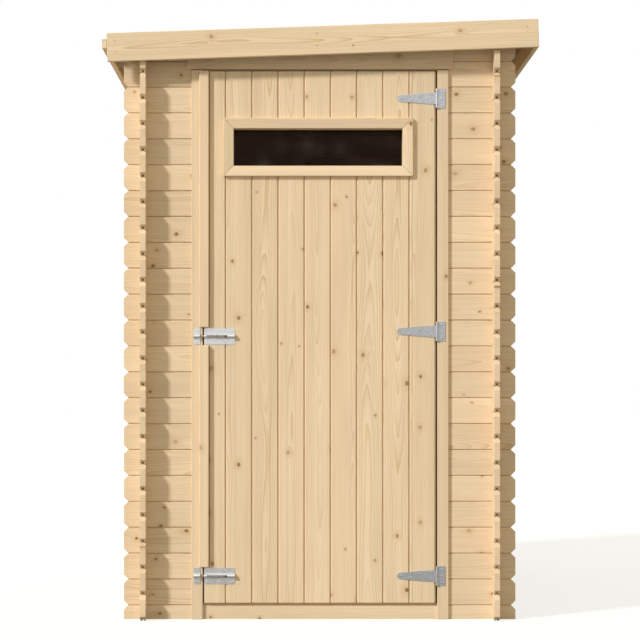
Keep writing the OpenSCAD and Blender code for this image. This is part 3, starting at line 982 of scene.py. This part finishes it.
def add_screws(target, screw, points, normal, rng):
    for point in points:
        part = screw.copy()
        spin = Matrix.Rotation(rng.uniform(0, math.pi / 2), 4, "Z")
        move(part, head_frame(point, normal) @ spin)
        add_to(target, part)


# Door

def build_door():
    s, p = sizes(), Places
    low, high = p.leaf_low, p.leaf_high
    window_low, window_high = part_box("window_frame")
    wide = member_width()
    hole_low = Vector((window_low.x + wide, low.y - MM, window_low.z + wide))
    hole_high = Vector((window_high.x - wide, high.y + MM, window_high.z - wide))
    rng = random.Random("door_leaf")
    leaf = new_part()
    turn = Matrix(((0, 0, 1), (0, 1, 0), (1, 0, 0))).to_4x4()
    seam = s.door_seam
    while seam > low.x - s.door_board:
        board = tongued_board(low.z, high.z, s.door_board, high.y - low.y, s.door_gap)
        middle = Vector(((low.z + high.z) / 2, 0.01, s.door_board / 2))
        place = Matrix.Translation((seam, low.y, 0)) @ turn
        if seam == s.door_seam:
            board = combined(board, [bead_line(s.bead_offset, low.z, high.z)], "DIFFERENCE")
        if seam < low.x:
            board = combined(board, strip_lines(seam), "DIFFERENCE")
        move(board, place)
        bmesh.ops.recalc_face_normals(board, faces=board.faces)
        cut(board, (low.x, 0, 0), -X)
        cut(board, (high.x, 0, 0), X)
        if seam < hole_high.x and seam + s.door_board + s.tongue_h > hole_low.x:
            board = combined(board, [block(hole_low, hole_high)], "DIFFERENCE")
        set_grain(board, place @ middle, Z, X, rng)
        if board.verts:
            add_to(leaf, board)
        seam -= s.door_board
    make_piece(leaf, "door_leaf_boards", "door_leaf")

    build_ledges()
    build_brace()
    for node in ("cover_strip_lower", "cover_strip_upper"):
        plank_piece(node, f"{node}_timber", *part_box(node), Z, X, arris=0.0028)


def build_ledges():
    """The ledges, with two screws into each board of the leaf."""
    s = sizes()
    screw = screw_prototype(s.screw_r)
    aside, end_clear = 0.012, 0.015
    for node in ("door_ledge_bottom", "door_ledge_middle", "door_ledge_top"):
        target = new_part()
        low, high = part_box(node)
        rng = random.Random(node)
        plank(target, low, high, X, Z, rng, arris=0.003)
        quarter = (high.z - low.z) / 4
        middle = s.door_seam + s.door_board / 2
        while middle > low.x:
            if middle < high.x - end_clear:
                points = [
                    (middle - aside, high.y, low.z + quarter),
                    (middle + aside, high.y, high.z - quarter),
                ]
                add_screws(target, screw, points, Y, rng)
            middle -= s.door_board
        make_piece(target, f"{node}_timber", node)
    screw.free()


def member_width():
    """Width of the window frame's members on the outside."""
    glass_low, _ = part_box("window_glass")
    frame_low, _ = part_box("window_frame")
    rebate = 0.008
    return glass_low.x + rebate - frame_low.x


def bead_line(offset, low, high, half=0.0018, deep=0.0018):
    """A V-shaped tool that cuts a line into the face of a board."""
    over = 0.0002
    outline = ((-over, offset - half - over), (deep, offset), (-over, offset + half + over))
    return prism([(low - MM, y, z) for y, z in outline], (high - low + 2 * MM, 0, 0))


def strip_lines(seam):
    """Lines in the first board that set off the edges of the cover strips."""
    half, deep = 0.0017, 0.0065
    strips = [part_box(node) for node in ("cover_strip_lower", "cover_strip_upper")]
    return [
        bead_line(high.x + half - seam, low.z + MM, high.z - MM, half, deep)
        for low, high in strips
    ]


def build_brace():
    low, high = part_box("door_brace")
    wide = 0.09
    outline = (
        (high.x - wide, low.z), (high.x, low.z), (low.x + wide, high.z), (low.x, high.z),
    )
    brace = prism([(x, low.y, z) for x, z in outline], (0, high.y - low.y, 0))
    soften(brace, sizes().arris)
    along = Vector((low.x - high.x + wide, 0, high.z - low.z)).normalized()
    set_grain(brace, (low + high) / 2, along, along.cross(Y), random.Random("door_brace"))
    single(brace, "door_brace_timber", "door_brace")


# Window

def mitred(target, low, high, outline, base, into, rng, arris):
    """Frames a rectangle with four mitred members. Each outline point is a distance out from the
    rectangle's edge and a distance from the base plane."""
    centre = (low + high) / 2
    reach = max(out for out, _ in outline)
    joint_gap = 0.0004
    for outward, run in ((X, Z), (Z, X), (-X, Z), (-Z, X)):
        half_out = abs((high - low).dot(outward)) / 2
        half_run = abs((high - low).dot(run)) / 2
        origin = Vector((centre.x, base, centre.z)) + outward * half_out
        points = [
            origin + outward * out + Y * into * deep - run * (half_run + reach)
            for out, deep in outline
        ]
        member = prism(points, run * 2 * (half_run + reach))
        for way in (1, -1):
            cut(member, origin + run * way * (half_run - joint_gap), run * way - outward)
        bmesh.ops.recalc_face_normals(member, faces=member.faces)
        soften(member, arris)
        set_grain(member, origin + outward * reach / 2, run, outward, rng)
        add_to(target, member)


def build_window():
    frame_low, frame_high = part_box("window_frame")
    casing_low, casing_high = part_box("window_casing")
    glass_low, glass_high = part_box("window_glass")
    wide = member_width()
    inset = Vector((wide, 0, wide))
    low, high = frame_low + inset, frame_high - inset
    proud = frame_high.y - frame_low.y
    slope_drop, flat = 0.0055, 0.004
    section = ((0, 0), (wide, 0), (wide, proud), (wide - flat, proud), (0, proud - slope_drop))
    part = new_part()
    rng = random.Random("window_frame")
    mitred(part, low, high, section, frame_high.y, -1, rng, arris=0.0012)
    make_piece(part, "window_frame_members", "window_frame")

    out = casing_high.x - high.x
    deep = casing_high.y - casing_low.y
    seat = glass_low.y - casing_low.y
    back = glass_high.y - casing_low.y
    lip = glass_high.x - high.x
    section = ((0, 0), (out, 0), (out, deep), (lip, deep), (lip, seat), (0, seat))
    part = new_part()
    rng = random.Random("window_casing")
    mitred(part, low, high, section, casing_low.y, 1, rng, arris=0.0008)
    play, proud = 0.0003, 0.0015
    bead = ((2 * play, back + play), (lip - play, back + play), (lip - play, deep - proud))
    mitred(part, low, high, bead, casing_low.y, 1, rng, arris=0.0006)
    make_piece(part, "window_casing_members", "window_casing")

    inset = Vector((MM, 0.0002, MM))
    pane = block(glass_low + inset, glass_high - inset)
    soften(pane, 0.0006, 1)
    make_piece(pane, "window_pane", "window_glass")


# Hinges

def tube(target, centre, inner, outer, low, high):
    """Adds an upright tube, or a rod where inner is nothing."""
    ease = 0.0004
    profile = (
        (inner, low), (outer - ease, low), (outer, low + ease),
        (outer, high - ease), (outer - ease, high), (inner, high),
    )
    points = [centre + X * r + Z * z for r, z in profile]
    add_to(target, turned(points, centre, Z, sizes().round_steps, closed=inner > 0))


def flat_plate(points, corner, thick, base):
    """A sheet-metal plate with rounded corners that faces the front."""
    part = new_part()
    part.faces.new([part.verts.new((x, base, z)) for x, z in points])
    if corner:
        bmesh.ops.bevel(
            part, geom=part.verts[:], offset=corner, affect="VERTICES",
            segments=4, profile=0.5, material=-1,
        )
    part.faces.ensure_lookup_table()
    push(part, part.faces[0], (0, -thick, 0))
    return part


def build_hinges():
    s, p = sizes(), Places
    pin_r, clear, knuckle_r, metal, edge = 0.002, 0.0003, 0.004, 0.002, 0.0003
    tip, corner, lap, fit, short = 0.011, 0.002, 0.001, 0.00005, 0.0008
    screw = screw_prototype(s.screw_r)
    hinge = next(joint for joint in frame["joints"] if joint["name"] == "door_hinge")
    pin = Vector(hinge["pos_m"])
    centre = Vector((pin.x, pin.y, 0))
    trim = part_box("jamb_trim_right")[0].y
    for place in ("bottom", "middle", "top"):
        rng = random.Random(f"hinge_{place}")
        node = f"hinge_strap_{place}"
        low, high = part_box(node)
        level = (low.z + high.z) / 2
        half = (high.z - low.z) / 2
        turns = [step * math.pi / 10 for step in range(11)]
        arc = [(low.x + tip - tip * math.sin(a), level + tip * math.cos(a)) for a in turns]
        outline = [(pin.x - lap, level + half)] + arc + [(pin.x - lap, level - half)]
        strap = new_part()
        add_to(strap, flat_plate(outline, 0, metal, p.leaf_low.y))
        tube(strap, centre, pin_r + clear, knuckle_r, level - half, level + half)
        # The strap's screws: where each lies along X, and how far above the middle
        spots = (
            (pin.x - 0.018, 0.012), (pin.x - 0.018, -0.012), (pin.x - 0.058, 0.006),
            (pin.x - 0.088, -0.005), (low.x + 0.013, 0),
        )
        points = [(x, p.leaf_low.y - metal, level + z) for x, z in spots]
        add_screws(strap, screw, points, -Y, rng)
        make_piece(strap, f"{node}_iron", node, smooth=True, bevel=edge)

        node = f"hinge_plate_{place}"
        low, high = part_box(node)
        tall = (high.z - low.z) / 2
        left = pin.x + lap / 2
        bottom, top = level - tall, level + tall
        corners = [(left, bottom), (high.x, bottom), (high.x, top), (left, top)]
        plate = new_part()
        add_to(plate, flat_plate(corners, corner, metal, trim))
        for start, stop in ((-tall + short, -half - clear), (half + clear, tall - short)):
            tube(plate, centre, pin_r + fit, knuckle_r, level + start, level + stop)
        tube(plate, centre, 0, pin_r, bottom, top)
        points = [(left + 0.018, trim - metal, level + z) for z in (-0.023, 0.0, 0.023)]
        add_screws(plate, screw, points, -Y, rng)
        make_piece(plate, f"{node}_iron", node, smooth=True, bevel=edge)
    screw.free()


# Bolts

def folded_plate(low, high, base, axis_y, metal, inner):
    """A plate along X with a round-topped tunnel pressed out of its middle."""
    level = (low.z + high.z) / 2
    half = (high.z - low.z) / 2
    outer = inner + metal
    face = base - metal
    steps = 12
    arc = [step * math.pi / steps for step in range(steps + 1)]
    over = [(axis_y - outer * math.sin(a), outer * math.cos(a)) for a in arc]
    under = [(axis_y - inner * math.sin(a), inner * math.cos(a)) for a in reversed(arc)]
    outline = [(base, half), (face, half), (face, outer)] + over
    outline += [(face, -outer), (face, -half), (base, -half), (base, -inner)]
    outline += under + [(base, inner)]
    return prism([(low.x, y, level + z) for y, z in outline], (high.x - low.x, 0, 0))


def cut_corners(part, low, high, corner):
    """Cuts the four corners off a plate."""
    for side_x, x in ((-1, low.x), (1, high.x)):
        for side_z, z in ((-1, low.z), (1, high.z)):
            cut(part, (x - side_x * corner, 0, z), (side_x, 0, side_z))


def build_bolts():
    s = sizes()
    rod_r, clear, metal, corner = 0.005, 0.0004, 0.0015, 0.002
    slot_half, slot_start, slot_stop, screw_in, screw_out = 0.0035, 0.0095, 0.0255, 0.008, 0.0185
    screw = screw_prototype(s.screw_r * 0.8)
    for place in ("lower", "upper"):
        rng = random.Random(f"bolt_{place}")
        rod_node = f"bolt_rod_{place}"
        rod_low, rod_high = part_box(rod_node)
        axis_y = rod_high.y - rod_r
        for kind, base in (("plate", Places.leaf_low.y), ("keeper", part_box("jamb_trim_left")[0].y)):
            node = f"bolt_{kind}_{place}"
            low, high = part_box(node)
            level = (low.z + high.z) / 2
            part = folded_plate(low, high, base, axis_y, metal, rod_r + clear)
            cut_corners(part, low, high, corner)
            spots = [(low.x + high.x) / 2]
            if kind == "plate":
                slot = block(
                    (low.x + slot_start, low.y - MM, level - slot_half),
                    (high.x - slot_stop, axis_y, level + slot_half),
                )
                part = combined(part, [slot], "DIFFERENCE")
                spots = [low.x + screw_in, high.x - screw_in] + spots
            iron = new_part()
            add_to(iron, part)
            points = [(x, base - metal, level + side * screw_out) for x in spots for side in (-1, 1)]
            add_screws(iron, screw, points, -Y, rng)
            make_piece(iron, f"{node}_iron", node, smooth=True, bevel=0.0003)
        build_rod(rod_node, rod_low, rod_high, axis_y, rod_r)
    screw.free()


def build_rod(node, low, high, axis_y, rod_r):
    """A round rod with eased ends, and a knob on a stem."""
    level = (low.z + high.z) / 2
    knob_back, stem_r, knob_r = 0.048, 0.0028, 0.005
    rod = new_part()
    tube(rod, Vector((0, 0, 0)), 0, rod_r, low.x, high.x)
    move(rod, Matrix.Translation((0, axis_y, level)) @ Matrix.Rotation(math.pi / 2, 4, "Y"))
    reach = axis_y - low.y
    knob = ((0.8, 1.6), (1, 1), (0.8, 0.4), (0.4, 0.08))
    profile = [(0, 0), (stem_r, 0), (stem_r, reach - 1.75 * knob_r)]
    profile += [(wide * knob_r, reach - back * knob_r) for wide, back in knob]
    points = [(r, -out, 0) for r, out in profile + [(0, reach)]]
    stem = turned(points, (0, 0, 0), Y, sizes().round_steps)
    bmesh.ops.translate(stem, verts=stem.verts, vec=(low.x + knob_back, axis_y, level))
    bmesh.ops.recalc_face_normals(rod, faces=rod.faces)
    whole = combined(rod, [stem], "UNION")
    # The rod's zinc is darkened to half, with low roughness. This is partly the rod's own darker steel
    # and partly painted shade for the dark lines in the slot around it.
    name = "rod_steel_and_painted_shade"
    finish = bpy.data.materials.get(name)
    if not finish:
        finish = steel_material(name, shaded(colours().zinc, 0.5), 0.14, 0.1, 0.015, 0.2)
    make_piece(whole, f"{node}_iron", node, smooth=True, finish=finish)


# Stage

def build_stage():
    scene = bpy.context.scene
    camera = bpy.data.cameras.new("camera")
    camera.lens = 99.34
    camera.sensor_width = 36.0
    camera.shift_x = 0.04375
    camera.shift_y = 0.1109
    camera.clip_end = 200.0
    eye = bpy.data.objects.new("camera", camera)
    eye.location = (-0.094, -6.885, 0.775)
    eye.rotation_euler = (math.pi / 2, 0, 0)
    scene.collection.objects.link(eye)
    scene.camera = eye
    scene.view_settings.view_transform = "Standard"

    sun = bpy.data.lights.new("sun", "SUN")
    sun.energy = 2.58
    sun.color = (0.985, 0.985, 1.0)
    sun.angle = math.radians(6.0)
    lamp = bpy.data.objects.new("sun", sun)
    towards = Vector((-1.32, -1.0, 0.97))
    lamp.rotation_euler = towards.to_track_quat("Z", "Y").to_euler()
    scene.collection.objects.link(lamp)

    world = bpy.data.worlds.new("studio")
    world.use_nodes = True
    world.node_tree.nodes.clear()
    t = Tree(world.node_tree)
    soft = t.node("ShaderNodeBackground", {"Color": (1.0, 0.94, 0.75), "Strength": 0.585})
    seen = t.node("ShaderNodeBackground", {"Color": (1, 1, 1), "Strength": 1.0})
    rays = t.node("ShaderNodeLightPath").outputs
    direct = t.maths("MAXIMUM", rays["Is Camera Ray"], rays["Is Glossy Ray"])
    direct = t.maths("MAXIMUM", direct, rays["Is Transmission Ray"])
    mixed = t.node("ShaderNodeMixShader", {0: direct, 1: soft.outputs[0], 2: seen.outputs[0]})
    t.node("ShaderNodeOutputWorld", {"Surface": mixed.outputs[0]})
    scene.world = world

    floor = bpy.data.objects.new("ground", bpy.data.meshes.new("ground"))
    part = bmesh.new()
    bmesh.ops.create_grid(part, x_segments=1, y_segments=1, size=40.0)
    bmesh.ops.translate(part, verts=part.verts, vec=(0, 0, CAD_BOX[0][2]))
    part.to_mesh(floor.data)
    part.free()
    scene.collection.objects.link(floor)
    material, t, shader = new_material("ground")
    speckle = t.noise(t.place(), 30.0, 3.0).outputs[0]
    pale = colours().ground
    sandy = t.mix(speckle, pale, shaded(pale, 0.97))
    mirrored = (0.24, 0.24, 0.235)
    rays = t.node("ShaderNodeLightPath").outputs
    t.fill(
        shader.inputs, Base_Color=t.mix(rays["Is Glossy Ray"], sandy, mirrored), Roughness=0.9,
        Specular_IOR_Level=0.1, Emission_Color=(1, 1, 1),
        Emission_Strength=t.times(rays["Is Camera Ray"], 0.70),
    )
    floor.data.materials.append(material)


# Operators and panel

def step_operator(word, label, text, action):
    """An operator that builds one group of pieces."""

    def execute(self, context):
        action()
        return {"FINISHED"}

    return type(
        f"SHED_OT_{word}", (bpy.types.Operator,),
        {
            "__doc__": text, "bl_idname": f"shed.{word}", "bl_label": label,
            "bl_options": {"REGISTER", "UNDO"}, "execute": execute,
        },
    )


OPERATORS = (
    step_operator("walls", "Wall boards", "Stack the tongued boards of the four walls", build_walls),
    step_operator("doorway", "Doorway", "Make the posts, head and trims of the doorway", build_doorway),
    step_operator("floor", "Floor", "Lay the floor boards on their bearers", build_floor),
    step_operator("roof", "Roof", "Make the roof boards, felt, purlin and edge boards", build_roof),
    step_operator("door", "Door", "Make the door boards, ledges, brace and cover strips", build_door),
    step_operator("window", "Window", "Make the mitred window frame, casing and pane", build_window),
    step_operator("hinges", "Hinges", "Make the three strap hinges with their screws", build_hinges),
    step_operator("bolts", "Bolts", "Make the two bolts with their keepers", build_bolts),
    step_operator("stage", "Stage", "Set the camera, the light and the pale ground", build_stage),
)


class SHED_PT_panel(bpy.types.Panel):
    """Lists the steps that build the shed."""

    bl_idname = "SHED_PT_panel"
    bl_label = "Garden shed"
    bl_space_type = "VIEW_3D"
    bl_region_type = "UI"
    bl_category = "Shed"

    def draw(self, context):
        column = self.layout.column(align=True)
        for operator in OPERATORS:
            column.operator(operator.bl_idname)
        for group in (context.scene.shed_sizes, context.scene.shed_colours):
            for name in group.bl_rna.properties.keys():
                if name not in ("rna_type", "name"):
                    column.prop(group, name)


CLASSES = (ShedSizes, ShedColours, *OPERATORS, SHED_PT_panel)


def register():
    for item in CLASSES:
        bpy.utils.register_class(item)
    bpy.types.Scene.shed_sizes = PointerProperty(type=ShedSizes)
    bpy.types.Scene.shed_colours = PointerProperty(type=ShedColours)


def unregister():
    del bpy.types.Scene.shed_colours
    del bpy.types.Scene.shed_sizes
    for item in reversed(CLASSES):
        bpy.utils.unregister_class(item)


def main():
    register()
    bpy.ops.shed.stage()
    bpy.ops.shed.walls()
    bpy.ops.shed.doorway()
    bpy.ops.shed.floor()
    bpy.ops.shed.roof()
    bpy.ops.shed.door()
    bpy.ops.shed.window()
    bpy.ops.shed.hinges()
    bpy.ops.shed.bolts()


if __name__ == "__main__":
    main()
